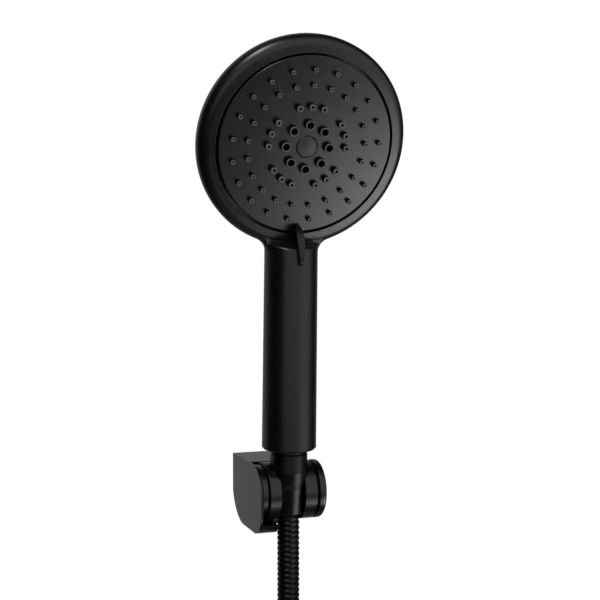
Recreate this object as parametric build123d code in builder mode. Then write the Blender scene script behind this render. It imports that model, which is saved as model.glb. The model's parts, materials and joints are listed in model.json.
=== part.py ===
"""Handheld shower head in its wall holder, with the upper end of its hose and the put-away rest.

Frame: the origin is on the wall, level with the holder's pivot and in the handset's middle
plane.  +Y goes into the wall, +Z is up.  All sizes are in millimetres and degrees.
"""
import os
from math import cos, radians, sin, tan

from build123d import *

# ---------------------------------------------------------------- driving dimensions
# Pose of the handset in its holder
lean = 2.0                  # the handle leans forward of the vertical
face_tilt = 18.0            # the spray face looks down from square to the handle
pivot_reach = 48.0          # wall to the holder's pivot
seat_offset = 7.0           # the handle axis is in front of the pivot

# Head.  Depths are behind the plane of the nozzle tips.
rim_radius = 65.0
rim_round = 9.0
rim_depth = 12.5
shoulder_depth = 10.0
crown_radius = rim_radius - 6.4
crown_depth = 4.4
land_depth = 4.0
back_depth = 30.0
face_reach = 29.0           # handle axis to the face centre
plate_radius = rim_radius - 11.0
plate_edge_depth = 3.3
plate_edge_round = 0.8
plate_crown = 1.6           # the plate's middle stands this much proud of its edge
plate_floor_depth = 5.0
skirt_depth = 8.6
skirt_wall = 2.0
groove = 1.4
recess_radius = rim_radius - 3.6    # clears the lever where the handle's front meets the head
ledge_drop = recess_radius + 0.2    # face centre to the straight ledge across the handle's front
ledge_depth = 4.8
lever_bow = 4.3             # from the lever's tip back to where its front edge starts to round
ledge_round = 2.0
neck_fillet = 10.0

# Nozzles: how many, share of the plate's radius, tip radius, bore radius, how far forward
outer_ring = (21, 0.852, 1.45, 0.45, 0.0)
second_ring = (21, 0.682, 1.45, 0.45, 0.46)
jet_ring = (15, 0.45, 2.05, 0.75, 1.15)
stream_ring = (8, 0.25, 3.0, 2.1, 1.1)
jet_group = 3
jet_step = 18.0             # between nozzles of one group
nozzle_gap = 0.12

# Inside the head
membrane_thick = 1.2
rotor_thick = 3.0
rotor_gap = 0.3
rotor_channel = 1.6
stator_radius = plate_radius - 8.2
stator_thick = 2.4
stator_hub = 4.0
seat_gap = 0.2
chamber_radius = stator_radius - 2.8
chamber_depth = 19.0
dome_pocket_radius = chamber_radius - 7.0
dome_pocket_depth = 23.0
port_radius = plate_radius / 3
port_bore = 4.0
rotor_port = 2.6
pattern_count = 3           # spray patterns, one rotor port each
pattern_step = 30.0         # lever turn between two patterns
hub_radius = 6.0
screw_radius = 2.4
screw_head_radius = 4.4
cap_radius = 6.7
ring_section = 1.0
detent_radius = 2.4
fixing_radius = 1.4
fixing_length = 6.0

# Lever
lever_front = 1.8           # width of its front edge
lever_back = 5.0
lever_wedge = 4.0           # the flanks widen from the front edge over this depth
lever_tip_radius = recess_radius + 9.2
lever_start = plate_radius - 5.4
lever_lift = 1.4            # over the handle's front
lever_depth = 2.4

# Handle and its waterway
handle_base = 28.0
handle_bottom_radius = 17.05
handle_top_radius = 16.5
handle_top = 166.0
face_height = handle_top + 0.74 * rim_radius
handle_bevel = 1.2
handle_bore = handle_bottom_radius - 3.75
handle_bore_top = handle_top - 20.0
tube_radius = 7.0
tube_bore = 5.0
tube_socket = 6.0
channel_radius = 4.5
channel_offset = 3.0
channel_top = handle_top + 13.0
plug_length = 11.0
collar_radius = 11.5
collar_thick = 2.2

# Hose connections: G1/2 thread on a 14 mm hose
thread_radius = 20.955 / 2
thread_fit = 0.06
thread_length = 15.0
inlet_bore = 6.5
nut_radius = thread_radius + 1.2
nut_top_gap = 0.4
nut_cone_start = 14.0
nut_length = 38.2
nut_shoulder = 6.0
nut_flare = 1.4
washer_thick = 2.0
hose_radius = 7.0
hose_bore = hose_radius - 3.0
nut_bore = hose_radius + 0.9
nut_tip_radius = hose_radius + 2.2
hose_run = 140.0            # straight hose from below the nut to the coil
hose_start = 8.0            # below the swing point
knuckle_radius = hose_radius - 0.6
coil_radius = 71.0          # middle of the turns
coil_turns = 3
stub_gap = 2.0              # from the coil's outside to the straight hose
tail_run = 30.0
hex_flats = 24.0
hex_length = 15.0
hex_shoulder = 1.6
sleeve_radius = hose_radius + 1.6
sleeve_length = 22.0

# Holder
barrel_radius = 18.4
barrel_left = -15.3
barrel_right = 16.0
body_gap = 0.3              # between pieces that move past each other
slot_width = 16.0
slot_chamfer = 1.4
neck_length = 1.3
neck_radius = barrel_radius - 3.9
cap_thick = 4.9
cap_edge = 2.2
cap_spigot = 3.0
ear_face = -20.8
ear_thick = 1.2
pivot_screw_radius = 2.55
pivot_screw_head = 3.0
screw_head_thick = 2.0
access_radius = pivot_screw_head + 0.35
running_fit = 0.05
block_right = 14.0
block_front = -64.4
block_top = 17.0
block_bottom = -25.6
brow_radius = -17.8
block_foot = -8.0           # lower end of the wall face
block_wall = 2.8
chin_radius = -14.8
heel_radius = -27.0
barrel_clearance = 0.8
tray_right = -8.2
ledge_height = -2.0
ledge_front = 12.0 - pivot_reach
hanger_thick = 3.2
hanger_holes = 18.0         # between the two wall screw holes
hanger_hole_radius = 2.3
lock_screw_radius = 1.5
lock_reach = 3.0
lock_foot = -16.0
hook_depth = 6.0

# ---------------------------------------------------------------- frames
pivot = Vector(0, -pivot_reach, 0)
handle = Plane(
    origin=(0, -pivot_reach - seat_offset, 0),
    x_dir=(1, 0, 0),
    z_dir=(0, -sin(radians(lean)), cos(radians(lean))),
)
head_angle = radians(lean + face_tilt)
head = Plane(
    origin=handle.from_local_coords(Vector(0, -face_reach, face_height)),
    x_dir=(1, 0, 0),
    z_dir=(0, -cos(head_angle), -sin(head_angle)),
)
barrel = Plane(origin=pivot, x_dir=(0, 1, 0), z_dir=(1, 0, 0))
handle_axis = Axis(handle.origin, handle.z_dir)
head_axis = Axis(head.origin, head.z_dir)


def side(plane):
    """The plane that holds a plane's own axis: local X is the radius, local Y the height."""
    return Plane(origin=plane.origin, x_dir=plane.x_dir, z_dir=-plane.y_dir)


def keep(part, name):
    part.label = name
    export_step(part, f"parts/{name}.step")


def disc(plane, radius, bottom, top, bore=0.0):
    """A round plate or ring between two heights above a plane."""
    with BuildPart() as piece:
        with BuildSketch(plane.offset(bottom)):
            Circle(radius)
            if bore:
                Circle(bore, mode=Mode.SUBTRACT)
        extrude(amount=top - bottom)
    return piece.part


def o_ring(plane, radius, height, section=ring_section):
    with BuildPart() as piece:
        with BuildSketch(side(plane)):
            with Locations((radius, height)):
                Circle(section)
        revolve(axis=Axis(plane.origin, plane.z_dir))
    return piece.part


def spring(plane, radius, wire, bottom, top, turns):
    """A compression spring as one wire of round section."""
    start = plane.offset(bottom + wire)
    with BuildPart() as piece:
        with BuildLine(start) as path:
            Helix((top - bottom - 2 * wire) / turns, top - bottom - 2 * wire, radius)
        with BuildSketch(Plane(origin=path.line @ 0, z_dir=path.line % 0)):
            Circle(wire)
        sweep(is_frenet=True)
    return piece.part


os.makedirs("parts", exist_ok=True)

# ================================================================ handset: shell
dome_rise = back_depth - rim_depth
rim_inner = rim_radius - rim_round
dome_radius = (rim_inner**2 + dome_rise**2 - rim_round**2) / (2 * (dome_rise - rim_round))
dome_centre = dome_radius - back_depth
dome_reach = dome_radius / (dome_radius - rim_round)
dome_start = (rim_inner * dome_reach, dome_centre + (-rim_depth - dome_centre) * dome_reach)
bore_radius = plate_radius + groove
membrane_back = plate_floor_depth + membrane_thick
rotor_back = membrane_back + rotor_thick
stator_front = rotor_back + rotor_gap
stator_back = stator_front + stator_thick


def in_head(edge):
    return head.to_local_coords(edge.center())


with BuildPart() as handset_shell:
    with BuildSketch(side(handle)):
        with BuildLine():
            base = Line((0, handle_base), (handle_bottom_radius - handle_bevel, handle_base))
            bevel = Line(base @ 1, (handle_bottom_radius, handle_base + handle_bevel))
            grip = Line(bevel @ 1, (handle_top_radius, handle_top))
            crown = RadiusArc(grip @ 1, (0, handle_top + handle_top_radius), -handle_top_radius)
            Line(crown @ 1, base @ 0)
        make_face()
    revolve(axis=handle_axis)
    with BuildSketch(head.offset(-shoulder_depth)):
        Circle(recess_radius)
    extrude(amount=handle_bottom_radius * 4, mode=Mode.SUBTRACT)
    with BuildSketch(side(head)):
        with BuildLine():
            land = Line((0, -land_depth), (bore_radius, -land_depth))
            bank = Line(land @ 1, (crown_radius, -crown_depth))
            shoulder = ThreePointArc(
                bank @ 1,
                (crown_radius + 0.67 * (rim_radius - crown_radius),
                 -crown_depth - 0.3 * (shoulder_depth - crown_depth)),
                (rim_radius, -shoulder_depth),
            )
            rim = Line(shoulder @ 1, (rim_radius, -rim_depth))
            turn = RadiusArc(rim @ 1, dome_start, rim_round)
            dome = RadiusArc(turn @ 1, (0, -back_depth), dome_radius)
            Line(dome @ 1, land @ 0)
        make_face()
    revolve(axis=head_axis)

    seam = handset_shell.edges().filter_by(GeomType.BSPLINE)
    seam = seam.filter_by(lambda e: in_head(e).Z < -land_depth - 1)
    hump = handset_shell.edges().filter_by(GeomType.CIRCLE)
    hump = hump.filter_by(lambda e: abs(in_head(e).X) < 1 and in_head(e).Z < -shoulder_depth)
    hump = hump.filter_by(lambda e: -0.8 * rim_radius < in_head(e).Y < -0.5 * rim_radius)
    fillet(seam + hump, radius=neck_fillet)
    with BuildSketch(head.offset(-ledge_depth)):
        with Locations((0, -ledge_drop)):
            Rectangle(4 * handle_bottom_radius, ledge_drop, align=(Align.CENTER, Align.MIN))
        Circle(recess_radius - 0.5, mode=Mode.SUBTRACT)
    extrude(amount=handle_bottom_radius * 4, mode=Mode.SUBTRACT)
    ledge = handset_shell.edges().filter_by(lambda e: abs(in_head(e).Y + ledge_drop) < 0.01)
    fillet(ledge.sort_by(head_axis)[-1], radius=ledge_round)

    for radius, top, bottom in (
        (bore_radius, 2.0, -stator_front),
        (stator_radius + seat_gap, 0.0, -stator_back),
        (chamber_radius, 0.0, -chamber_depth),
        (dome_pocket_radius, 0.0, -dome_pocket_depth),
    ):
        with BuildSketch(head.offset(bottom)):
            Circle(radius)
        extrude(amount=top - bottom, mode=Mode.SUBTRACT)
    with BuildSketch(handle.offset(handle_base)):
        Circle(handle_bore)
    extrude(amount=handle_bore_top - handle_base, mode=Mode.SUBTRACT)
    with BuildSketch(handle.offset(handle_base)):
        Circle(tube_radius + thread_fit)
    extrude(amount=handle_bore_top + tube_socket - handle_base, mode=Mode.SUBTRACT)
    with BuildSketch(handle.offset(handle_bore_top)):
        with Locations((0, channel_offset)):
            Circle(channel_radius)
    extrude(amount=channel_top - handle_bore_top, mode=Mode.SUBTRACT)
keep(handset_shell.part, "handset_shell")

# ================================================================ handset: waterway
plug_top = handle_base + plug_length
inlet_foot = handle_base - collar_thick - thread_length

with BuildPart() as threaded_inlet:
    with BuildSketch(side(handle)):
        with BuildLine():
            Polyline(
                (inlet_bore, inlet_foot),
                (thread_radius - 0.8, inlet_foot),
                (thread_radius, inlet_foot + 0.8),
                (thread_radius, handle_base - collar_thick),
                (collar_radius - 0.4, handle_base - collar_thick),
                (collar_radius, handle_base - collar_thick + 0.4),
                (collar_radius, handle_base - 0.1),
                (handle_bore - seat_gap, handle_base - 0.1),
                (handle_bore - seat_gap, plug_top),
                (tube_radius + thread_fit, plug_top),
                (tube_radius + thread_fit, plug_top - tube_socket),
                (inlet_bore, plug_top - tube_socket),
                close=True,
            )
        make_face()
    revolve(axis=handle_axis)
keep(threaded_inlet.part, "threaded_inlet")

with BuildPart() as waterway_tube:
    with BuildSketch(handle.offset(plug_top - tube_socket)):
        Circle(tube_radius)
        Circle(tube_bore, mode=Mode.SUBTRACT)
    extrude(amount=handle_bore_top + tube_socket - plug_top + tube_socket)
keep(waterway_tube.part, "waterway_tube")

with BuildPart() as inlet_plug_seal:
    add(o_ring(handle, handle_bore - ring_section - seat_gap, plug_top + ring_section))
keep(inlet_plug_seal.part, "inlet_plug_seal")

with BuildPart() as tube_seal:
    add(o_ring(handle, tube_radius + ring_section, handle_bore_top - ring_section))
keep(tube_seal.part, "tube_seal")

restrictor_foot = inlet_foot + 4.0
restrictor_thick = 3.0
with BuildPart() as flow_restrictor:
    add(disc(handle, inlet_bore - 0.1, restrictor_foot, restrictor_foot + restrictor_thick, bore=1.6))
    with BuildSketch(handle.offset(restrictor_foot)):
        with PolarLocations(inlet_bore - 2.3, 8):
            Circle(0.7)
    extrude(amount=restrictor_thick, mode=Mode.SUBTRACT)
keep(flow_restrictor.part, "flow_restrictor")

filter_foot = inlet_foot + 0.6
bar_pitch = 2.0
bar_width = 0.5
with BuildPart() as inlet_filter:
    add(disc(handle, inlet_bore - 0.1, filter_foot, filter_foot + 3.0, bore=inlet_bore - 1.2))
    with BuildSketch(handle.offset(filter_foot)):
        with GridLocations(0, bar_pitch, 1, 4):
            Rectangle(2 * inlet_bore - 4.0, bar_width)
        with GridLocations(bar_pitch, 0, 4, 1):
            Rectangle(bar_width, 2 * inlet_bore - 4.0)
    extrude(amount=bar_width)
keep(inlet_filter.part, "inlet_filter")

washer_bottom = inlet_foot - 0.1 - washer_thick
with BuildPart() as inlet_washer:
    add(disc(handle, thread_radius - 1.0, washer_bottom, inlet_foot - 0.1, bore=hose_bore + 1.0))
keep(inlet_washer.part, "inlet_washer")

# ================================================================ handset: cone nut
nut_top = handle_base - collar_thick - nut_top_gap
nut_foot = nut_top - nut_length

with BuildPart() as cone_nut:
    with BuildSketch(side(handle)):
        with BuildLine():
            Polyline(
                (thread_radius + thread_fit, nut_top),
                (nut_radius - 0.5, nut_top),
                (nut_radius, nut_top - 0.5),
                (nut_radius, nut_cone_start),
                (nut_tip_radius, nut_foot + 0.6),
                (nut_tip_radius - 0.5, nut_foot),
                (nut_bore + nut_flare - 0.8, nut_foot),
                (nut_bore, nut_foot + 2 * nut_flare),
                (nut_bore, nut_shoulder),
                (thread_radius + thread_fit, nut_shoulder),
                close=True,
            )
        make_face()
    revolve(axis=handle_axis)
    cone_slope = (nut_radius - nut_tip_radius) / (nut_cone_start - nut_foot)
    for level in (6.2, 4.8):
        skin = nut_radius - cone_slope * (nut_cone_start - level)
        with BuildSketch(side(handle)):
            with Locations((skin, level)):
                Rectangle(0.7, 0.5)
        revolve(axis=handle_axis, mode=Mode.SUBTRACT)
keep(cone_nut.part, "cone_nut")

# ================================================================ handset: water distributor
with BuildPart() as distributor:
    add(disc(head, stator_radius, -stator_back, -stator_front))
    add(disc(head, hub_radius + 1.5, -stator_back - stator_hub, -stator_back))
    with BuildSketch(head.offset(-stator_back)):
        with Locations((0, port_radius)):
            Circle(port_bore)
    extrude(amount=stator_thick, mode=Mode.SUBTRACT)
    with BuildSketch(head.offset(-stator_back - stator_hub)):
        Circle(screw_radius)
    extrude(amount=stator_thick + stator_hub, mode=Mode.SUBTRACT)
    with BuildSketch(head.offset(-stator_back)):
        with Locations((0, -port_radius)):
            Circle(detent_radius + seat_gap)
    extrude(amount=stator_thick, mode=Mode.SUBTRACT)
    with BuildSketch(head.offset(-stator_back)):
        with PolarLocations(stator_radius - 5.0, 3, start_angle=90):
            Circle(fixing_radius + seat_gap)
    extrude(amount=stator_thick, mode=Mode.SUBTRACT)
keep(distributor.part, "distributor")

with BuildPart() as distributor_screws:
    with BuildSketch(head.offset(-stator_back - fixing_length)):
        with PolarLocations(stator_radius - 5.0, 3, start_angle=90):
            Circle(fixing_radius)
    extrude(amount=stator_thick + fixing_length - 0.4)
keep(distributor_screws.part, "distributor_screws")

with BuildPart() as port_seal:
    with BuildSketch(head.offset(-stator_back)):
        with Locations((0, port_radius)):
            Circle(port_bore - 0.15)
            Circle(port_bore - 1.5, mode=Mode.SUBTRACT)
    extrude(amount=stator_thick - 0.2)
keep(port_seal.part, "port_seal")

port_plane = Plane(
    origin=head.from_local_coords(Vector(0, port_radius, 0)), x_dir=head.x_dir, z_dir=head.z_dir
)
with BuildPart() as port_spring:
    add(spring(port_plane, port_bore - 1.2, 0.3, -stator_back - 5.0, -stator_back - 0.1, 4))
keep(port_spring.part, "port_spring")

detent_plane = Plane(
    origin=head.from_local_coords(Vector(0, -port_radius, 0)), x_dir=head.x_dir, z_dir=head.z_dir
)
with BuildPart() as detent_pin:
    add(disc(detent_plane, detent_radius, -stator_back + 0.1, -stator_front - 0.1))
keep(detent_pin.part, "detent_pin")

with BuildPart() as detent_spring:
    add(spring(detent_plane, detent_radius - 0.6, 0.25, -stator_back - 4.5, -stator_back, 4))
keep(detent_spring.part, "detent_spring")

# ================================================================ selector: spray face that turns
crown_top = plate_edge_depth - plate_crown


def plate_skin(radius):
    """Depth of the plate's domed face at a radius."""
    return plate_edge_depth - plate_crown * (1 - (radius / plate_radius) ** 2)


def at_nozzles(ring):
    """Where the nozzles of one ring stand: even, or in groups on the jet ring."""
    count, share = ring[:2]
    angles = [90 - index * 360 / count for index in range(count)]
    if ring == jet_ring:
        groups = count // jet_group
        middle = (jet_group - 1) / 2
        angles = [
            90 - group * 360 / groups - (index - middle) * jet_step
            for group in range(groups)
            for index in range(jet_group)
        ]
    radius = share * plate_radius
    return [(radius * cos(radians(angle)), radius * sin(radians(angle))) for angle in angles]


nozzle_rings = (outer_ring, second_ring, jet_ring, stream_ring)
lip_start = plate_radius - plate_edge_round

with BuildPart() as face_plate:
    with BuildSketch(side(head)):
        with BuildLine():
            skin = ThreePointArc(
                (0, -crown_top),
                (plate_radius / 2, -plate_skin(plate_radius / 2)),
                (lip_start, -plate_skin(lip_start)),
            )
            lip = RadiusArc(
                skin @ 1, (plate_radius, -plate_edge_depth - plate_edge_round), plate_edge_round
            )
            Polyline(
                lip @ 1,
                (plate_radius, -skirt_depth),
                (plate_radius - skirt_wall, -skirt_depth),
                (plate_radius - skirt_wall, -plate_floor_depth),
                (0, -plate_floor_depth),
                (0, -crown_top),
            )
        make_face()
    revolve(axis=head_axis)
    for ring in nozzle_rings:
        with BuildSketch(head.offset(-plate_floor_depth)):
            with Locations(*at_nozzles(ring)):
                Circle(ring[2] + nozzle_gap)
        extrude(amount=plate_floor_depth, mode=Mode.SUBTRACT)
    with BuildSketch(head.offset(-plate_floor_depth)):
        Circle(cap_radius + nozzle_gap)
    extrude(amount=plate_floor_depth, mode=Mode.SUBTRACT)
keep(face_plate.part, "face_plate")

with BuildPart() as nozzle_membrane:
    sheet_radius = plate_radius - skirt_wall - 0.3
    add(disc(head, sheet_radius, -membrane_back, -plate_floor_depth, bore=cap_radius + 0.2))
    for ring in nozzle_rings:
        with BuildSketch(head.offset(-plate_floor_depth)):
            with Locations(*at_nozzles(ring)):
                Circle(ring[2])
        extrude(amount=plate_floor_depth + ring[4])
        with BuildSketch(head.offset(-membrane_back)):
            with Locations(*at_nozzles(ring)):
                Circle(ring[3])
        extrude(amount=membrane_back + ring[4] + 1, mode=Mode.SUBTRACT)
keep(nozzle_membrane.part, "nozzle_membrane")

with BuildPart() as chamber_plate:
    rotor_radius = plate_radius - skirt_wall - 0.4
    add(disc(head, rotor_radius, -rotor_back, -membrane_back, bore=screw_radius + 0.1))
    for inner, outer in ((0.15, 0.325), (0.37, 0.53), (0.585, 0.915)):
        with BuildSketch(head.offset(-membrane_back)):
            Circle(outer * plate_radius)
            Circle(inner * plate_radius, mode=Mode.SUBTRACT)
        extrude(amount=-rotor_channel, mode=Mode.SUBTRACT)
    with BuildSketch(head.offset(-rotor_back)):
        with PolarLocations(
            port_radius, pattern_count, 90 - pattern_step, pattern_step * pattern_count
        ):
            Circle(rotor_port)
    extrude(amount=rotor_thick, mode=Mode.SUBTRACT)
keep(chamber_plate.part, "chamber_plate")

with BuildPart() as chamber_seal:
    add(o_ring(head, plate_radius - skirt_wall, -skirt_depth - 0.4, section=0.35))
keep(chamber_seal.part, "chamber_seal")

with BuildPart() as hub_screw:
    add(disc(head, screw_head_radius, -membrane_back + 0.1, -membrane_back + 2.6))
    add(disc(head, screw_radius - running_fit, -stator_back - 3.0, -membrane_back + 0.1))
    with BuildSketch(head.offset(-membrane_back + 1.2)):
        RegularPolygon(1.8, 6)
    extrude(amount=1.6, mode=Mode.SUBTRACT)
keep(hub_screw.part, "hub_screw")

with BuildPart() as centre_cap:
    with BuildSketch(side(head)):
        with BuildLine():
            Polyline(
                (0, -crown_top + 0.5),
                (cap_radius - 0.6, -crown_top + 0.35),
                (cap_radius, -crown_top - 0.2),
                (cap_radius, -plate_floor_depth - 0.2),
                (cap_radius - 1.2, -plate_floor_depth - 0.2),
                (cap_radius - 1.2, -crown_top - 1.0),
                (0, -crown_top - 1.0),
                close=True,
            )
        make_face()
    revolve(axis=head_axis)
keep(centre_cap.part, "centre_cap")

# ---- lever: a thin fin on the face plate's lower edge
fin_side = Plane(origin=head.origin, x_dir=-head.y_dir, z_dir=-head.x_dir)


def handle_front(radius):
    """How far the handle's front stands forward of the tips' plane, below the face centre."""
    tilt = radians(face_tilt)
    return radius * tan(tilt) - (face_reach - handle_top_radius) / cos(tilt)


with BuildPart() as selector_lever:
    fin_back = handle_front(lever_tip_radius) + lever_lift
    fin_nose = fin_back + lever_depth
    root_depth = plate_edge_depth + 0.7
    with BuildSketch(fin_side.offset(-lever_back / 2)):
        with BuildLine():
            back = Polyline(
                (plate_radius - skirt_wall / 2, -root_depth),
                (plate_radius + groove / 2, -root_depth),
                (recess_radius - 1.0, -plate_edge_depth + 0.2),
                (recess_radius - 1.0, handle_front(recess_radius) + lever_lift),
                (lever_tip_radius, fin_back),
            )
            nose = ThreePointArc(
                back @ 1,
                (lever_tip_radius - 1.4, fin_nose - 0.3),
                (lever_tip_radius - lever_bow, fin_nose),
            )
            front = ThreePointArc(
                nose @ 1,
                (plate_radius + 3.0, 0.68 * fin_nose),
                (lever_start, -plate_skin(lever_start) + 0.05),
            )
            Polyline(front @ 1, (lever_start, -root_depth), back @ 0)
        make_face()
    extrude(amount=lever_back)
    edge_start = head.from_local_coords(Vector(0, -lever_start, -plate_skin(lever_start)))
    edge_end = head.from_local_coords(Vector(0, lever_bow - lever_tip_radius, fin_nose))
    wedge = Plane(origin=edge_start, x_dir=head.x_dir, z_dir=edge_end - edge_start)
    with BuildSketch(wedge):
        with BuildLine():
            Polyline(
                (-lever_front / 2, -2 * lever_wedge),
                (lever_front / 2, -2 * lever_wedge),
                (lever_front / 2, 0),
                (lever_back / 2, lever_wedge),
                (lever_back / 2, 4 * lever_wedge),
                (-lever_back / 2, 4 * lever_wedge),
                (-lever_back / 2, lever_wedge),
                (-lever_front / 2, 0),
                close=True,
            )
        make_face()
    extrude(amount=lever_tip_radius, both=True, mode=Mode.INTERSECT)
    add(face_plate.part, mode=Mode.SUBTRACT)
keep(selector_lever.part, "selector_lever")

# ================================================================ hose
swing_point = handle.from_local_coords(Vector(0, 0, nut_foot))
down = Plane(origin=swing_point, x_dir=(1, 0, 0), z_dir=(0, 0, 1))
ferrule_top = washer_bottom - body_gap
ferrule_foot = nut_foot + hose_radius + 1.5

with BuildPart() as hose_ferrule:
    with BuildSketch(side(handle)):
        with BuildLine():
            Polyline(
                (hose_bore, ferrule_foot),
                (nut_bore - body_gap, ferrule_foot),
                (nut_bore - body_gap, nut_shoulder + body_gap),
                (thread_radius - body_gap, nut_shoulder + body_gap),
                (thread_radius - body_gap, ferrule_top),
                (hose_bore, ferrule_top),
                close=True,
            )
        make_face()
    revolve(axis=handle_axis)
keep(hose_ferrule.part, "hose_ferrule")

with BuildPart() as hose_neck:
    with BuildSketch(side(down)):
        with BuildLine():
            knuckle = RadiusArc((0, knuckle_radius), (knuckle_radius, 0), knuckle_radius)
            Polyline(knuckle @ 1, (knuckle_radius, -hose_start), (0, -hose_start), knuckle @ 0)
        make_face()
    revolve(axis=Axis(down.origin, down.z_dir))
keep(hose_neck.part, "hose_neck")

coil_height = -hose_start - hose_run     # of the coil's middle, from the swing point
hose_stub = coil_radius + hose_radius + stub_gap
straight = hose_run - hose_stub

with BuildPart() as hose:
    with BuildSketch(down.offset(-hose_start)):
        Circle(hose_radius)
    extrude(amount=-straight)
keep(hose.part, "hose")

coil_depth = 2 * hose_radius * coil_turns
coil_half = hose_radius + 0.3
coil_middle = Vector(coil_radius, 0, coil_height)
coil = Plane(origin=swing_point + coil_middle, x_dir=(1, 0, 0), z_dir=(0, -1, 0))
tail_plane = Plane(
    origin=swing_point + Vector(0, -coil_depth, coil_height), x_dir=(1, 0, 0), z_dir=(0, 0, -1)
)
with BuildPart() as hose_coil:
    with BuildSketch(coil.offset(-coil_half)):
        Circle(coil_radius + coil_half)
        Circle(coil_radius - coil_half, mode=Mode.SUBTRACT)
    extrude(amount=coil_depth + 2 * coil_half)
    with BuildSketch(down.offset(coil_height)):
        Circle(hose_radius)
    extrude(amount=hose_stub)
    with BuildSketch(tail_plane):
        Circle(hose_radius)
    extrude(amount=hose_stub)
keep(hose_coil.part, "hose_coil")

tie_inner = coil_half + 0.4
tie_outer = tie_inner + 1.2
tie_width = 10.0
with BuildPart() as hose_tie:
    with BuildSketch(Plane(origin=coil.origin, x_dir=(0, -1, 0), z_dir=(1, 0, 0))):
        with Locations((coil_depth / 2, coil_radius)):
            Rectangle(coil_depth + 2 * tie_outer, 2 * tie_outer)
            Rectangle(coil_depth + 2 * tie_inner, 2 * tie_inner, mode=Mode.SUBTRACT)
    extrude(amount=tie_width / 2, both=True)
keep(hose_tie.part, "hose_tie")

with BuildPart() as hose_tail:
    with BuildSketch(tail_plane.offset(hose_stub)):
        Circle(hose_radius)
    extrude(amount=tail_run)
keep(hose_tail.part, "hose_tail")

sleeve_start = hose_stub + tail_run
flange_start = sleeve_start + sleeve_length
flange_end = flange_start + 2.0
with BuildPart() as hose_end_sleeve:
    with BuildSketch(side(tail_plane)):
        with BuildLine():
            Polyline(
                (hose_bore, sleeve_start),
                (sleeve_radius - 0.6, sleeve_start),
                (sleeve_radius, sleeve_start + 0.6),
                (sleeve_radius, flange_start),
                (thread_radius - body_gap, flange_start),
                (thread_radius - body_gap, flange_end),
                (hose_bore, flange_end),
                close=True,
            )
        make_face()
    revolve(axis=Axis(tail_plane.origin, tail_plane.z_dir))
keep(hose_end_sleeve.part, "hose_end_sleeve")

hex_start = flange_start - hex_shoulder - body_gap
thread_start = flange_end + washer_thick
with BuildPart() as hex_nut:
    with BuildSketch(tail_plane.offset(hex_start)):
        RegularPolygon(hex_flats / 2, 6, major_radius=False)
    extrude(amount=hex_length)
    with BuildSketch(tail_plane.offset(hex_start)):
        Circle(sleeve_radius + body_gap)
    extrude(amount=hex_shoulder, mode=Mode.SUBTRACT)
    with BuildSketch(tail_plane.offset(hex_start + hex_shoulder)):
        Circle(thread_radius + body_gap)
    extrude(amount=thread_start - hex_start - hex_shoulder, mode=Mode.SUBTRACT)
    with BuildSketch(tail_plane.offset(thread_start)):
        Circle(thread_radius)
    extrude(amount=hex_length, mode=Mode.SUBTRACT)
keep(hex_nut.part, "hex_nut")

with BuildPart() as end_washer:
    add(disc(tail_plane, thread_radius - 1.0, flange_end, thread_start, bore=hose_bore + 1.0))
keep(end_washer.part, "end_washer")

# ================================================================ holder: cradle
left_inner = barrel_left - body_gap      # the hub's face
screw_seat = barrel_left + 2.6           # wall the pivot screw's head bears on
seat_drop = 8.0

with BuildPart() as cradle:
    with BuildSketch(barrel.offset(barrel_left)):
        Circle(barrel_radius)
    extrude(amount=barrel_right - barrel_left)
    chamfer(cradle.edges().filter_by(GeomType.CIRCLE), length=0.5)
    with BuildSketch(barrel.offset(barrel_right)):
        Circle(neck_radius)
    extrude(amount=neck_length)
    with BuildSketch(side(handle)):
        with BuildLine():
            seat_top = barrel_radius + 4.0
            Polyline(
                (0, nut_foot - seat_drop),
                (nut_tip_radius + body_gap - seat_drop * cone_slope, nut_foot - seat_drop),
                (nut_radius + body_gap, nut_cone_start),
                (nut_radius + body_gap, seat_top),
                (0, seat_top),
                close=True,
            )
        make_face()
    revolve(axis=handle_axis, mode=Mode.SUBTRACT)
    with BuildSketch(handle.offset(-2 * barrel_radius)):
        with Locations((0, -barrel_radius)):
            Rectangle(slot_width, 2 * barrel_radius)
    extrude(amount=4 * barrel_radius, mode=Mode.SUBTRACT)
    with BuildSketch(barrel.offset(barrel_left)):
        Circle(pivot_screw_radius + running_fit)
    extrude(amount=neck_radius, mode=Mode.SUBTRACT)
    with BuildSketch(barrel.offset(screw_seat)):
        Circle(access_radius)
    extrude(amount=barrel_right + neck_length - screw_seat, mode=Mode.SUBTRACT)
    with BuildSketch(barrel.offset(barrel_left)):
        Circle(pivot_screw_radius + 4.0)
    extrude(amount=1.0, mode=Mode.SUBTRACT)
keep(cradle.part, "cradle")

with BuildPart() as friction_washer:
    add(disc(barrel, pivot_screw_radius + 3.8, barrel_left + 0.05, barrel_left + 0.95,
             bore=pivot_screw_radius + running_fit))
keep(friction_washer.part, "friction_washer")

with BuildPart() as end_cap:
    with BuildSketch(side(barrel)):
        with BuildLine():
            cap_start = barrel_right + neck_length
            cap_end = cap_start + cap_thick
            edge_round = RadiusArc(
                (barrel_radius, cap_end - cap_edge), (barrel_radius - cap_edge, cap_end), -cap_edge
            )
            Polyline(
                edge_round @ 1,
                (0, cap_end),
                (0, cap_start - cap_spigot),
                (access_radius - 0.1, cap_start - cap_spigot),
                (access_radius - 0.1, cap_start),
                (barrel_radius - 0.4, cap_start),
                (barrel_radius, cap_start + 0.4),
                edge_round @ 0,
            )
        make_face()
    revolve(axis=Axis(barrel.origin, barrel.z_dir))
keep(end_cap.part, "end_cap")

# ================================================================ holder: wall bracket
inner_face = ear_face + ear_thick

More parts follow.
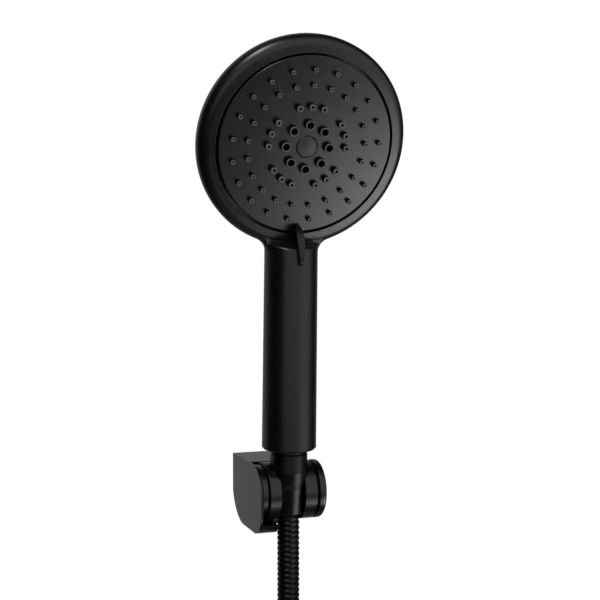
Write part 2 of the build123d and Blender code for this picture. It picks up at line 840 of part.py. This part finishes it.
with BuildPart() as hub_ring:
    add(disc(barrel, barrel_radius - 1.6, inner_face, left_inner, bore=pivot_screw_radius + 1.6))
    chamfer(hub_ring.edges().filter_by(GeomType.CIRCLE).sort_by(SortBy.LENGTH)[-2:], length=0.5)
keep(hub_ring.part, "hub_ring")

with BuildPart() as hub_insert:
    add(disc(barrel, pivot_screw_radius + 1.5, inner_face, left_inner - 0.2, pivot_screw_radius))
keep(hub_insert.part, "hub_insert")

with BuildPart() as pivot_screw:
    add(disc(barrel, pivot_screw_radius, inner_face + 0.2, screw_seat + body_gap))
    add(disc(barrel, pivot_screw_head, screw_seat + body_gap, screw_seat + screw_head_thick))
    with BuildSketch(barrel.offset(screw_seat + screw_head_thick - 1.0)):
        RegularPolygon(1.4, 6)
    extrude(amount=1.0, mode=Mode.SUBTRACT)
keep(pivot_screw.part, "pivot_screw")

with BuildPart() as bracket_body:
    with BuildSketch(Plane(origin=(ear_face, 0, 0), x_dir=(0, 1, 0), z_dir=(1, 0, 0))):
        with BuildLine():
            top = Line((0, block_top), (-pivot_reach - 3.0, block_top))
            brow = RadiusArc(top @ 1, (block_front, 0), brow_radius)
            nose = Line(brow @ 1, (block_front, -11.0))
            chin = RadiusArc(nose @ 1, (block_front + 14.0, block_bottom), chin_radius)
            sole = Line(chin @ 1, (-pivot_reach / 2, block_bottom))
            heel = RadiusArc(sole @ 1, (0, block_foot), heel_radius)
            Line(heel @ 1, top @ 0)
        make_face()
    block_width = block_right - ear_face
    extrude(amount=block_width)
    with BuildSketch(barrel.offset(inner_face)):
        Circle(barrel_radius + barrel_clearance)
    extrude(amount=2 * block_right - inner_face, mode=Mode.SUBTRACT)
    with BuildSketch(Plane.XY.offset(ledge_height)):
        with Locations((inner_face, ledge_front)):
            Rectangle(2 * block_width, block_width, align=(Align.MIN, Align.MAX))
    extrude(amount=2 * barrel_radius, mode=Mode.SUBTRACT)
    with BuildSketch(Plane.XY.offset(-barrel_radius - barrel_clearance)):
        with Locations((inner_face, -pivot_reach)):
            Rectangle(2 * block_width, block_width, align=(Align.MIN, Align.MAX))
    extrude(amount=2 * barrel_radius, mode=Mode.SUBTRACT)
    with BuildSketch(Plane.XY):
        with Locations((tray_right, barrel_radius + barrel_clearance - pivot_reach)):
            Rectangle(2 * block_width, 2 * block_width, align=(Align.MIN, Align.MAX))
    extrude(amount=2 * block_bottom, mode=Mode.SUBTRACT)
    pocket_left = inner_face + block_wall
    pocket_width = block_right - block_wall - pocket_left
    pocket_middle = pocket_left + pocket_width / 2
    pocket_bottom = block_foot + block_wall
    pocket_height = block_top - block_wall - pocket_bottom
    with BuildSketch(Plane.XZ):
        with Locations((pocket_middle, pocket_bottom + pocket_height / 2)):
            Rectangle(pocket_width, pocket_height)
    extrude(amount=pivot_reach - barrel_radius - barrel_clearance - block_wall, mode=Mode.SUBTRACT)
    with BuildSketch(Plane.XY.offset(block_bottom)):
        with Locations((pocket_middle, -hanger_thick - lock_reach)):
            Circle(lock_screw_radius + running_fit)
    extrude(amount=-block_bottom, mode=Mode.SUBTRACT)
keep(bracket_body.part, "bracket_body")

with BuildPart() as wall_hanger:
    with BuildSketch(Plane.XZ):
        with Locations((pocket_middle, pocket_bottom + pocket_height / 2)):
            RectangleRounded(pocket_width - 0.4, pocket_height - 0.4, 2.0)
            with Locations((-hanger_holes / 2, 0), (hanger_holes / 2, 0)):
                Circle(hanger_hole_radius, mode=Mode.SUBTRACT)
    extrude(amount=hanger_thick)
    with BuildSketch(Plane.XZ.offset(hanger_thick)):
        with Locations((pocket_middle, pocket_bottom + 0.2)):
            Rectangle(9.0, 4.0, align=(Align.CENTER, Align.MIN))
    extrude(amount=hook_depth)
    with BuildSketch(Plane.XY.offset(pocket_bottom)):
        with Locations((pocket_middle, -hanger_thick - lock_reach)):
            Circle(lock_screw_radius)
    extrude(amount=10.0, mode=Mode.SUBTRACT)
keep(wall_hanger.part, "wall_hanger")

with BuildPart() as lock_screw:
    with BuildSketch(Plane.XY.offset(lock_foot)):
        with Locations((pocket_middle, -hanger_thick - lock_reach)):
            Circle(lock_screw_radius)
    extrude(amount=pocket_bottom + 3.6 - lock_foot)
    with BuildSketch(Plane.XY.offset(lock_foot)):
        with Locations((pocket_middle, -hanger_thick - lock_reach)):
            RegularPolygon(0.9, 6)
    extrude(amount=2.0, mode=Mode.SUBTRACT)
keep(lock_screw.part, "lock_screw")
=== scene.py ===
"""Handheld shower head in its wall holder: materials, hose, light and camera."""
import json
from math import cos, pi, radians, sin, tan

import bmesh
import bpy
from mathutils import Matrix, Vector

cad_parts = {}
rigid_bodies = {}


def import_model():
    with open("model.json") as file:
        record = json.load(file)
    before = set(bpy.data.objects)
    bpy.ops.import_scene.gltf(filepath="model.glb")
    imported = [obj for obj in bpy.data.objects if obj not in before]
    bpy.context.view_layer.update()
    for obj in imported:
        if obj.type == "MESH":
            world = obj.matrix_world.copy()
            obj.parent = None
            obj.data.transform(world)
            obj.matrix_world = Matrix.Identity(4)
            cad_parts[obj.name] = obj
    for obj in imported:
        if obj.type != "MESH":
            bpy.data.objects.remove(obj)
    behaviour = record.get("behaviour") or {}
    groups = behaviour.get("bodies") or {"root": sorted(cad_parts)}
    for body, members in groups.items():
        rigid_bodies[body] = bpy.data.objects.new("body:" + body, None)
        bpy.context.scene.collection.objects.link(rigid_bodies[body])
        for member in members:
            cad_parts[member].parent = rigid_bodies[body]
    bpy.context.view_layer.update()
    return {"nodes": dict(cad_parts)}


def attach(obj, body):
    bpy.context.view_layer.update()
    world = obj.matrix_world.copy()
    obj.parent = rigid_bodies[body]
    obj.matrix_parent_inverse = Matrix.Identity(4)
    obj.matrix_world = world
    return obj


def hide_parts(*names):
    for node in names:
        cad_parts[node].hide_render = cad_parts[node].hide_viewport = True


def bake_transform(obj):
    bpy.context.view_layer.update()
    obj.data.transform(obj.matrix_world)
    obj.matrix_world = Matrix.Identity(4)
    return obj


MM = 0.001

for old in list(bpy.data.objects):
    bpy.data.objects.remove(old)
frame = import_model()
nodes = frame["nodes"]
scene = bpy.context.scene

# ================================================================ camera
# Level roll, a little above the holder and to its left, as far off as a 71 mm lens needs.
LENS = 71.25
SENSOR_WIDTH = 36.0
NEAREST_SEEN = 0.01
CAMERA_PLACE = (-232.8, -758.5, 154.7)
CAMERA_BACK = (-0.3231, -0.9452, 0.0454)    # from what it looks at towards the camera

camera_data = bpy.data.cameras.new("camera")
camera_data.lens = LENS
camera_data.sensor_width = SENSOR_WIDTH
camera_data.clip_start = NEAREST_SEEN
camera = bpy.data.objects.new("camera", camera_data)
scene.collection.objects.link(camera)
scene.camera = camera
back = Vector(CAMERA_BACK).normalized()
right = Vector((0, 0, 1)).cross(back).normalized()
up = back.cross(right)
place = Matrix((right, up, back)).transposed().to_4x4()
place.translation = Vector(CAMERA_PLACE) * MM
camera.matrix_world = place

# ================================================================ measures shared with the CAD
HEAD_TILT = radians(20.0)
HEAD = Vector((0, -91.4543, 212.9575)) * MM
head_z = Vector((0, -cos(HEAD_TILT), -sin(HEAD_TILT)))
head_x = Vector((1, 0, 0))
head_y = head_z.cross(head_x)
head_frame = Matrix((head_x, head_y, head_z)).transposed().to_4x4()
head_frame.translation = HEAD

PLATE_RADIUS = 54.0
PLATE_EDGE = 3.3            # depth of the plate's edge behind the nozzle tips
PLATE_CROWN = 1.6           # how much higher its middle is
PLATE_FLOOR = 5.0
HOSE_RADIUS = 7.0


# ================================================================ materials
def add_node(tree, kind, **settings):
    node = tree.nodes.new(kind)
    for name, value in settings.items():
        if hasattr(node, name):
            setattr(node, name, value)
        else:
            node.inputs[name].default_value = value
    return node


def moulded(name, base, rough, grain=0.35, grain_height=0.010, speckle=0.0, edge=0.25,
            specular=0.5, spread=0.05, smudge=55.0):
    """A moulded or coated finish: fine grain, uneven gloss, rounded edges, faint wear on them.

    grain is the size of the moulding texture in millimetres, grain_height its depth.
    """
    material = bpy.data.materials.new(name)
    material.use_nodes = True
    tree = material.node_tree
    shader = tree.nodes["Principled BSDF"]
    shader.inputs["Specular IOR Level"].default_value = specular
    link = tree.links.new
    where = add_node(tree, "ShaderNodeTexCoord")

    fine = add_node(tree, "ShaderNodeTexNoise", Scale=1000.0 / grain, Detail=4.0, Roughness=0.55)
    broad = add_node(tree, "ShaderNodeTexNoise", Scale=smudge, Detail=3.0, Roughness=0.6)
    link(where.outputs["Object"], fine.inputs["Vector"])
    link(where.outputs["Object"], broad.inputs["Vector"])

    tone = add_node(tree, "ShaderNodeValToRGB")
    tone.color_ramp.elements[0].position = 0.3
    tone.color_ramp.elements[1].position = 0.7
    tone.color_ramp.elements[0].color = (*[c * (1 - speckle) for c in base], 1)
    tone.color_ramp.elements[1].color = (*[c * (1 + speckle) for c in base], 1)
    link(broad.outputs["Fac"], tone.inputs["Fac"])

    pointiness = add_node(tree, "ShaderNodeNewGeometry")
    worn = add_node(tree, "ShaderNodeMapRange", **{
        "From Min": 0.53, "From Max": 0.62, "To Min": 0.0, "To Max": 0.35})
    link(pointiness.outputs["Pointiness"], worn.inputs["Value"])
    colour = add_node(tree, "ShaderNodeMix", data_type="RGBA")
    link(worn.outputs["Result"], colour.inputs["Factor"])
    link(tone.outputs["Color"], colour.inputs["A"])
    colour.inputs["B"].default_value = (*[c * 1.6 + 0.004 for c in base], 1)
    link(colour.outputs["Result"], shader.inputs["Base Color"])

    gloss = add_node(tree, "ShaderNodeMapRange", **{
        "From Min": 0.25, "From Max": 0.75, "To Min": rough - spread, "To Max": rough + spread})
    blotch = add_node(tree, "ShaderNodeMath", operation="MULTIPLY_ADD")
    blotch.inputs[1].default_value = 0.35
    link(fine.outputs["Fac"], blotch.inputs[0])
    scaled = add_node(tree, "ShaderNodeMath", operation="MULTIPLY")
    scaled.inputs[1].default_value = 0.65
    link(broad.outputs["Fac"], scaled.inputs[0])
    link(scaled.outputs["Value"], blotch.inputs[2])
    link(blotch.outputs["Value"], gloss.inputs["Value"])
    link(gloss.outputs["Result"], shader.inputs["Roughness"])

    rounding = add_node(tree, "ShaderNodeBevel", samples=6)
    rounding.inputs["Radius"].default_value = edge * MM
    bump = add_node(tree, "ShaderNodeBump", Strength=0.6, Distance=grain_height * MM)
    link(fine.outputs["Fac"], bump.inputs["Height"])
    link(rounding.outputs["Normal"], bump.inputs["Normal"])
    link(bump.outputs["Normal"], shader.inputs["Normal"])
    return material


def turned(name, base, rough, line=0.12):
    """Turned or drawn steel: fine lines round the piece, on bare metal."""
    material = bpy.data.materials.new(name)
    material.use_nodes = True
    tree = material.node_tree
    shader = tree.nodes["Principled BSDF"]
    shader.inputs["Metallic"].default_value = 1.0
    link = tree.links.new
    where = add_node(tree, "ShaderNodeTexCoord")
    stretch = add_node(tree, "ShaderNodeMapping")
    stretch.inputs["Scale"].default_value = (1.0, 1.0, 12.0)
    lines = add_node(tree, "ShaderNodeTexNoise", Scale=100.0 / line, Detail=3.0)
    link(where.outputs["Object"], stretch.inputs["Vector"])
    link(stretch.outputs["Vector"], lines.inputs["Vector"])
    tone = add_node(tree, "ShaderNodeValToRGB")
    tone.color_ramp.elements[0].color = (*[c * 0.75 for c in base], 1)
    tone.color_ramp.elements[1].color = (*base, 1)
    link(lines.outputs["Fac"], tone.inputs["Fac"])
    link(tone.outputs["Color"], shader.inputs["Base Color"])
    gloss = add_node(tree, "ShaderNodeMapRange", **{"To Min": rough - 0.06, "To Max": rough + 0.08})
    link(lines.outputs["Fac"], gloss.inputs["Value"])
    link(gloss.outputs["Result"], shader.inputs["Roughness"])
    bump = add_node(tree, "ShaderNodeBump", Strength=0.4, Distance=0.01 * MM)
    link(lines.outputs["Fac"], bump.inputs["Height"])
    link(bump.outputs["Normal"], shader.inputs["Normal"])
    return material


BLACK = (0.0042, 0.0042, 0.0046)
satin = moulded("satin_black", BLACK, 0.31, grain=0.5, grain_height=0.007, speckle=0.12)
face_satin = moulded("face_satin", (0.0040, 0.0040, 0.0043), 0.27, grain=0.45, grain_height=0.005,
                     speckle=0.10)
holder_satin = moulded("holder_satin", BLACK, 0.23, grain=0.7, grain_height=0.010, speckle=0.15,
                       edge=0.35)
gloss = moulded("gloss_black", (0.0026, 0.0026, 0.0029), 0.26, grain=0.9, grain_height=0.006,
                speckle=0.08, edge=0.2, specular=0.36, spread=0.04)
# Painted highlight: a lighter copy of the black nozzle rubber for the tip faces that look forward,
# as if lit.
tip_painted_highlight = moulded("nozzle_tips_painted_highlight", (0.060, 0.060, 0.061), 0.45, grain=0.22, grain_height=0.010,
                     speckle=0.15, edge=0.12)
rubber = moulded("nozzle_rubber", (0.006, 0.006, 0.0063), 0.46, grain=0.22, grain_height=0.010,
                 speckle=0.15, edge=0.12)
seal = moulded("seal_rubber", (0.014, 0.014, 0.014), 0.62, grain=0.25, grain_height=0.012,
               speckle=0.2, edge=0.1)
nylon = moulded("grey_nylon", (0.30, 0.30, 0.31), 0.50, grain=0.6, grain_height=0.014,
                speckle=0.06, edge=0.15)
tie_nylon = moulded("tie_nylon", (0.012, 0.012, 0.012), 0.42, grain=0.4, grain_height=0.02,
                    speckle=0.15, edge=0.2)
hose_black = moulded("hose_black", (0.0026, 0.0026, 0.0029), 0.30, grain=0.35, grain_height=0.008,
                     speckle=0.2, edge=0.1, specular=0.26, spread=0.06)
fitting_black = moulded("fitting_black", (0.0050, 0.0050, 0.0054), 0.25, grain=0.6,
                        grain_height=0.006, speckle=0.15, edge=0.25, specular=0.4, spread=0.06)
steel = turned("turned_steel", (0.56, 0.56, 0.57), 0.30)

finishes = {
    satin: ["handset_shell"],
    face_satin: ["face_plate", "centre_cap"],
    holder_satin: ["bracket_body", "hub_ring", "cradle", "end_cap"],
    gloss: ["cone_nut", "threaded_inlet", "selector_lever"],
    rubber: ["nozzle_membrane"],
    seal: ["chamber_seal", "inlet_plug_seal", "tube_seal", "port_seal", "inlet_washer",
           "end_washer"],
    nylon: ["hub_insert", "chamber_plate", "distributor", "waterway_tube", "flow_restrictor",
            "wall_hanger", "friction_washer", "detent_pin"],
    steel: ["inlet_filter", "hub_screw", "pivot_screw", "lock_screw", "distributor_screws",
            "port_spring", "detent_spring"],
    fitting_black: ["hose_ferrule", "hose_end_sleeve", "hex_nut"],
    hose_black: ["hose_neck", "hose", "hose_coil", "hose_tail"],
    tie_nylon: ["hose_tie"],
}
for finish, names in finishes.items():
    for name in names:
        mesh = nodes[name].data
        mesh.materials.clear()
        mesh.materials.append(finish)


# ================================================================ mesh helpers
SHARP = radians(40)         # edges that turn more than this stay sharp


def new_piece(name, verts, faces, material, body):
    """A smooth-shaded mesh object in a material slot; it rides on a body if one is given."""
    mesh = bpy.data.meshes.new(name)
    mesh.from_pydata([tuple(v) for v in verts], [], faces)
    mesh.validate()
    bm = bmesh.new()
    bm.from_mesh(mesh)
    bmesh.ops.recalc_face_normals(bm, faces=bm.faces)
    bm.to_mesh(mesh)
    bm.free()
    mesh.shade_smooth()
    mesh.materials.append(material)
    piece = bpy.data.objects.new(name, mesh)
    scene.collection.objects.link(piece)
    if body:
        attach(piece, body)
    return piece


def lathe(profile, steps, matrix, verts, faces):
    """Adds a turned shape: profile is (radius, height) in millimetres, matrix its frame."""
    rings = []
    for radius, height in profile:
        if radius <= 0:
            rings.append([len(verts)])
            verts.append(matrix @ Vector((0, 0, height * MM)))
            continue
        rings.append(list(range(len(verts), len(verts) + steps)))
        for step in range(steps):
            turn = 2 * pi * step / steps
            spot = Vector((radius * MM * cos(turn), radius * MM * sin(turn), height * MM))
            verts.append(matrix @ spot)
    for low, high in zip(rings, rings[1:]):
        for step in range(steps):
            after = (step + 1) % steps
            if len(low) == 1 and len(high) == 1:
                continue
            if len(low) == 1:
                faces.append((low[0], high[after], high[step]))
            elif len(high) == 1:
                faces.append((low[step], low[after], high[0]))
            else:
                faces.append((low[step], low[after], high[after], high[step]))


def rounded(radius, top, bend, steps=5):
    """The quarter round from a wall at a radius to a flat at a height."""
    return [
        (radius - bend + bend * cos(a), top - bend + bend * sin(a))
        for a in [pi / 2 * i / steps for i in range(steps + 1)]
    ]


# ================================================================ hose
# The route hangs from the cone nut, runs into three tied turns below the view and ends in a tail.
SWING = Vector((0, -54.5533, -12.7922))
RIB_PITCH = 3.3
NECK_RIBS = 5                               # ribs above the point where the hose turns
NECK_LENGTH = 8.0
NECK_FOOT = SWING.z - NECK_LENGTH
HOSE_TOP = NECK_FOOT + NECK_RIBS * RIB_PITCH
COIL_HEIGHT = -160.7922
COIL_RADIUS = 71.0
TURNS = 3
PER_TURN = 16
STRAIGHT_POINTS = (-45.0, -95.0)            # on the straight run above the coil
TAIL_MIDDLE = COIL_HEIGHT - 60.0
TAIL_END = COIL_HEIGHT - 110.0

lead = COIL_RADIUS * tan(pi / PER_TURN)
route = [Vector((0, SWING.y, z)) for z in (HOSE_TOP, *STRAIGHT_POINTS)]
route.append(Vector((0, SWING.y, COIL_HEIGHT + lead)))
corner = COIL_RADIUS / cos(pi / PER_TURN)
for k in range(TURNS * PER_TURN):
    turn = pi + 2 * pi * (k + 0.5) / PER_TURN
    shift = (k + 0.5) / (TURNS * PER_TURN)
    route.append(Vector((
        COIL_RADIUS + corner * cos(turn),
        SWING.y - 2 * HOSE_RADIUS * TURNS * shift,
        COIL_HEIGHT + corner * sin(turn),
    )))
tail_y = SWING.y - 2 * HOSE_RADIUS * TURNS
route.append(Vector((0, tail_y, COIL_HEIGHT - lead)))
for z in (TAIL_MIDDLE, TAIL_END):
    route.append(Vector((0, tail_y, z)))

line_data = bpy.data.curves.new("hose_line", "CURVE")
line_data.dimensions = "3D"
line_data.resolution_u = 16
spline = line_data.splines.new("NURBS")
spline.points.add(len(route) - 1)
for point, spot in zip(spline.points, route):
    point.co = (*(spot * MM), 1)
spline.order_u = 3
spline.use_endpoint_u = True
line = bpy.data.objects.new("hose_line", line_data)
scene.collection.objects.link(line)
bpy.context.view_layer.update()
line_mesh = bpy.data.meshes.new_from_object(line)
centreline = [v.co.copy() for v in line_mesh.vertices]
bpy.data.objects.remove(line)

reach = [0.0]
for a, b in zip(centreline, centreline[1:]):
    reach.append(reach[-1] + (b - a).length)
hose_length = reach[-1]


def spots_along(distances):
    """The hose's centre at each of some rising distances from its start."""
    spots = []
    k = 0
    for distance in distances:
        while k < len(reach) - 2 and reach[k + 1] < distance:
            k += 1
        share = (distance - reach[k]) / (reach[k + 1] - reach[k])
        spots.append(centreline[k].lerp(centreline[k + 1], min(max(share, 0), 1)))
    return spots


# One rib: share of the pitch, radius.
RIB_STEPS = (
    (0.00, 6.15), (0.07, 6.15), (0.14, 6.62), (0.24, 6.90), (0.40, 7.00),
    (0.62, 6.98), (0.78, 6.82), (0.90, 6.50),
)
SIDES = 28


def ribbed(name, first, count, body):
    """A run of ribs of the hose, from one rib's groove to another's."""
    pitch = RIB_PITCH * MM
    distances = [(first + i + share) * pitch for i in range(count) for share, _ in RIB_STEPS]
    distances.append((first + count) * pitch)
    radii = [radius * MM for _ in range(count) for _, radius in RIB_STEPS]
    radii.append(RIB_STEPS[0][1] * MM)
    centres = spots_along(distances)
    verts, faces = [], []
    across = Vector((1, 0, 0))
    for i, (centre, radius) in enumerate(zip(centres, radii)):
        ahead = centres[min(i + 1, len(centres) - 1)] - centres[max(i - 1, 0)]
        ahead.normalize()
        across = (across - ahead * across.dot(ahead)).normalized()
        other = ahead.cross(across)
        for side in range(SIDES):
            turn = 2 * pi * side / SIDES
            verts.append(centre + (across * cos(turn) + other * sin(turn)) * radius)
    for i in range(len(centres) - 1):
        for side in range(SIDES):
            a, b = i * SIDES + side, i * SIDES + (side + 1) % SIDES
            faces.append((a, b, b + SIDES, a + SIDES))
    return new_piece(name, verts, faces, hose_black, body)


neck = ribbed("hose_neck_ribbed", 0, NECK_RIBS, None)
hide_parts("hose_neck")
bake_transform(neck)

hose = ribbed("hose_ribbed", NECK_RIBS, int(hose_length / (RIB_PITCH * MM)) - NECK_RIBS, "hose")
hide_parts("hose", "hose_coil", "hose_tail")

# The tie goes round the three turns at the bottom of the coil, where they lie a pitch apart.
TIE_GAP = 0.4
TIE_WALL = 1.2
TIE_WIDTH = 10.0
TIE_CORNER_STEPS = 6
TO_FOOT = 0.25                              # of a turn, from its start to the coil's foot
first_turn = SWING.y - 2 * HOSE_RADIUS * TO_FOOT
last_turn = SWING.y - 2 * HOSE_RADIUS * (TURNS - 1 + TO_FOOT)
coil_foot = COIL_HEIGHT - COIL_RADIUS


def tie_outline(gap):
    """Points round the turns at a gap from them, as (y, z)."""
    radius = HOSE_RADIUS + gap
    points = []
    for middle, start in ((first_turn, -pi / 2), (last_turn, pi / 2)):
        for step in range(2 * TIE_CORNER_STEPS + 1):
            turn = start + pi * step / (2 * TIE_CORNER_STEPS)
            points.append((middle + radius * cos(turn), coil_foot + radius * sin(turn)))
    return points


rims = [(side, gap) for side in (-1, 1) for gap in (TIE_GAP, TIE_GAP + TIE_WALL)]
verts, faces = [], []
for side, gap in rims:
    for y, z in tie_outline(gap):
        verts.append(Vector((COIL_RADIUS + side * TIE_WIDTH / 2, y, z)) * MM)
round_count = len(verts) // len(rims)
for low, high in ((0, 1), (1, 3), (3, 2), (2, 0)):
    for i in range(round_count):
        after = (i + 1) % round_count
        faces.append((low * round_count + i, low * round_count + after,
                      high * round_count + after, high * round_count + i))
tie = new_piece("hose_tie_band", verts, faces, tie_nylon, "hose")
tie.data.set_sharp_from_angle(angle=SHARP)
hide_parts("hose_tie")

# ================================================================ nozzles
# Count, radius of the ring, tip radius, bore radius, how far the tip stands forward.
RINGS = (
    (21, 46.0, 1.45, 0.45, 0.0),
    (21, 36.8, 1.45, 0.45, 0.46),
    (15, 24.3, 2.05, 0.75, 1.15),
    (8, 13.5, 3.0, 2.1, 1.1),
)
JETS = 15                   # the ring whose nozzles stand in groups of three
GROUPS = 5
GROUP_TURN = 72.0
GROUP_STEP = 18.0
SHEET_DEPTH = 6.2
SHEET_RADII = (7.0, 51.6)
SMALL_TIP = 2.0             # tips under this radius have the smaller rounding
SMALL_BEND = 0.16
LARGE_BEND = 0.22
WIDEST_LIP = 0.25
LIP_SHARE = 0.4             # of the wall, where the wall is thin
WAIST = 0.4                 # the nozzle is this much slimmer inside the plate
WAIST_TOP = 0.5             # over the plate's skin
SHOULDER_TOP = 1.1
BORE_FLOOR = -SHEET_DEPTH + 0.2
NOZZLE_SIDES = 28
SHEET_SIDES = 96


def nozzle_angles(count):
    if count != JETS:
        return [90 - i * 360 / count for i in range(count)]
    return [90 - g * GROUP_TURN - (i - 1) * GROUP_STEP
            for g in range(GROUPS) for i in range(JETS // GROUPS)]


verts, faces = [], []
for count, ring, tip, bore, stand in RINGS:
    bend = SMALL_BEND if tip < SMALL_TIP else LARGE_BEND
    lip = min(WIDEST_LIP, (tip - bore) * LIP_SHARE)
    skin = -PLATE_EDGE + PLATE_CROWN * (1 - (ring / PLATE_RADIUS) ** 2)
    waist = tip - WAIST
    profile = [(tip + 0.05, -PLATE_FLOOR), (waist, -PLATE_FLOOR + 0.2)]
    profile += [(waist, skin + WAIST_TOP), (tip, skin + SHOULDER_TOP)]
    profile += rounded(tip, stand, bend)
    profile += [(bore + lip, stand), (bore + lip * 0.35, stand - lip * 0.3), (bore, stand - lip)]
    profile += [(bore * 0.96, stand - 2.0), (bore * 0.9, BORE_FLOOR), (0, BORE_FLOOR)]
    for angle in nozzle_angles(count):
        turn = radians(angle)
        spot = Matrix.Translation(Vector((ring * cos(turn), ring * sin(turn), 0)) * MM)
        lathe(profile, NOZZLE_SIDES, head_frame @ spot, verts, faces)
inner, outer = SHEET_RADII
sheet = [(inner, -PLATE_FLOOR), (outer, -PLATE_FLOOR), (outer, -SHEET_DEPTH),
         (inner, -SHEET_DEPTH), (inner, -PLATE_FLOOR)]
lathe(sheet, SHEET_SIDES, head_frame, verts, faces)
nozzles = new_piece("nozzles", verts, faces, rubber, "selector")
nozzles.data.set_sharp_from_angle(angle=SHARP)
nozzles.data.materials.append(tip_painted_highlight)
TIP_HIGHLIGHT_FACING = 0.6            # faces that look forward this squarely, no deeper than this, are tips and get the painted highlight
TIP_HIGHLIGHT_DEPTH = -0.5
to_head = head_frame.inverted()
# Painted highlight: the forward-looking tip faces take the lighter tip material.
for face in nozzles.data.polygons:
    if face.normal.dot(head_z) > TIP_HIGHLIGHT_FACING and (to_head @ face.center).z > TIP_HIGHLIGHT_DEPTH * MM:
        face.material_index = 1
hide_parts("nozzle_membrane")

# ================================================================ light and stage
scene.view_settings.view_transform = "Standard"


def towards(azimuth, elevation):
    """A direction from the object: azimuth 0 is in front of it, 90 on the right."""
    a, e = radians(azimuth), radians(elevation)
    return (sin(a) * cos(e), -cos(a) * cos(e), sin(e))


# A small lamp high on the left draws the thin arc on the head's rim.
LAMP_DIRECTION = (-42, 56)
LAMP_DISTANCE = 1.1
LAMP_SIZE = 0.25
LAMP_POWER = 4.0
LAMP_TARGET = (0, -0.07, 0.13)
lamp_data = bpy.data.lights.new("overhead", "AREA")
lamp_data.shape = "RECTANGLE"
lamp_data.size = LAMP_SIZE
lamp_data.size_y = LAMP_SIZE
lamp_data.energy = LAMP_POWER
lamp = bpy.data.objects.new("overhead", lamp_data)
scene.collection.objects.link(lamp)
away = Vector(towards(*LAMP_DIRECTION))
lamp.location = Vector(LAMP_TARGET) + away * LAMP_DISTANCE
lamp.rotation_mode = "QUATERNION"
lamp.rotation_quaternion = away.to_track_quat("Z", "Y")
lamp.visible_camera = False

world = bpy.data.worlds.new("studio")
scene.world = world
world.use_nodes = True
tree = world.node_tree
tree.nodes.clear()
direction = add_node(tree, "ShaderNodeTexCoord")


def facing(azimuth, elevation):
    """How squarely a direction meets another: 1 along it, 0 across it."""
    dot = add_node(tree, "ShaderNodeVectorMath", operation="DOT_PRODUCT")
    dot.inputs[1].default_value = towards(azimuth, elevation)
    tree.links.new(direction.outputs["Generated"], dot.inputs[0])
    return dot.outputs["Value"]


def eased(value, low, high, dark, bright):
    """Dark below one level of a value and bright above another, with a soft step between."""
    ramp = add_node(tree, "ShaderNodeMapRange", interpolation_type="SMOOTHSTEP", **{
        "From Min": low, "From Max": high, "To Min": dark, "To Max": bright})
    tree.links.new(value, ramp.inputs["Value"])
    return ramp.outputs["Result"]


def combine(operation, first, second):
    """Two values worked into one; the second may be a plain number."""
    node = add_node(tree, "ShaderNodeMath", operation=operation)
    tree.links.new(first, node.inputs[0])
    if isinstance(second, float):
        node.inputs[1].default_value = second
    else:
        tree.links.new(second, node.inputs[1])
    return node.outputs["Value"]


# A broad soft light in front, a bright one low on the right and the pale room behind.
FRONT_LIGHT = 1.05
KEY_DIRECTION = (49, -39)
KEY_LIGHT = 9.0
KEY_TIGHTNESS = 28.0
BACK_LIGHT = 0.4
LEAST_LIGHT = 0.008
front = eased(facing(16, 0), 0.25, 0.72, 0.0, FRONT_LIGHT)
front = combine("MULTIPLY", front, eased(facing(0, 90), -0.34, -0.06, 0.0, 1.0))
key = combine("POWER", combine("MAXIMUM", facing(*KEY_DIRECTION), 0.0), KEY_TIGHTNESS)
key = combine("MULTIPLY", key, KEY_LIGHT)
behind = eased(facing(180, 0), 0.3, 0.9, LEAST_LIGHT, BACK_LIGHT)
surround = add_node(tree, "ShaderNodeBackground")
strength = combine("ADD", combine("ADD", front, key), behind)
tree.links.new(strength, surround.inputs["Strength"])
backdrop = add_node(tree, "ShaderNodeBackground", Color=(1, 1, 1, 1), Strength=1.0)
ray = add_node(tree, "ShaderNodeLightPath")
choose = add_node(tree, "ShaderNodeMixShader")
output = add_node(tree, "ShaderNodeOutputWorld")
tree.links.new(ray.outputs["Is Camera Ray"], choose.inputs["Fac"])
tree.links.new(surround.outputs["Background"], choose.inputs[1])
tree.links.new(backdrop.outputs["Background"], choose.inputs[2])
tree.links.new(choose.outputs["Shader"], output.inputs["Surface"])

# The floor is far below the view, as under a real shower.
FLOOR_HEIGHT = -1.6
FLOOR_RADIUS = 1.1
FLOOR_THICKNESS = 0.02
FLOOR_MIDDLE = -0.3
bpy.ops.mesh.primitive_cylinder_add(vertices=96, radius=FLOOR_RADIUS, depth=FLOOR_THICKNESS,
                                    location=(0, FLOOR_MIDDLE, FLOOR_HEIGHT))
floor = bpy.context.object
floor.name = "floor"
floor.data.materials.append(moulded("pale_floor", (0.62, 0.62, 0.61), 0.55, grain=2.0,
                                    grain_height=0.02, speckle=0.03, edge=1.0))
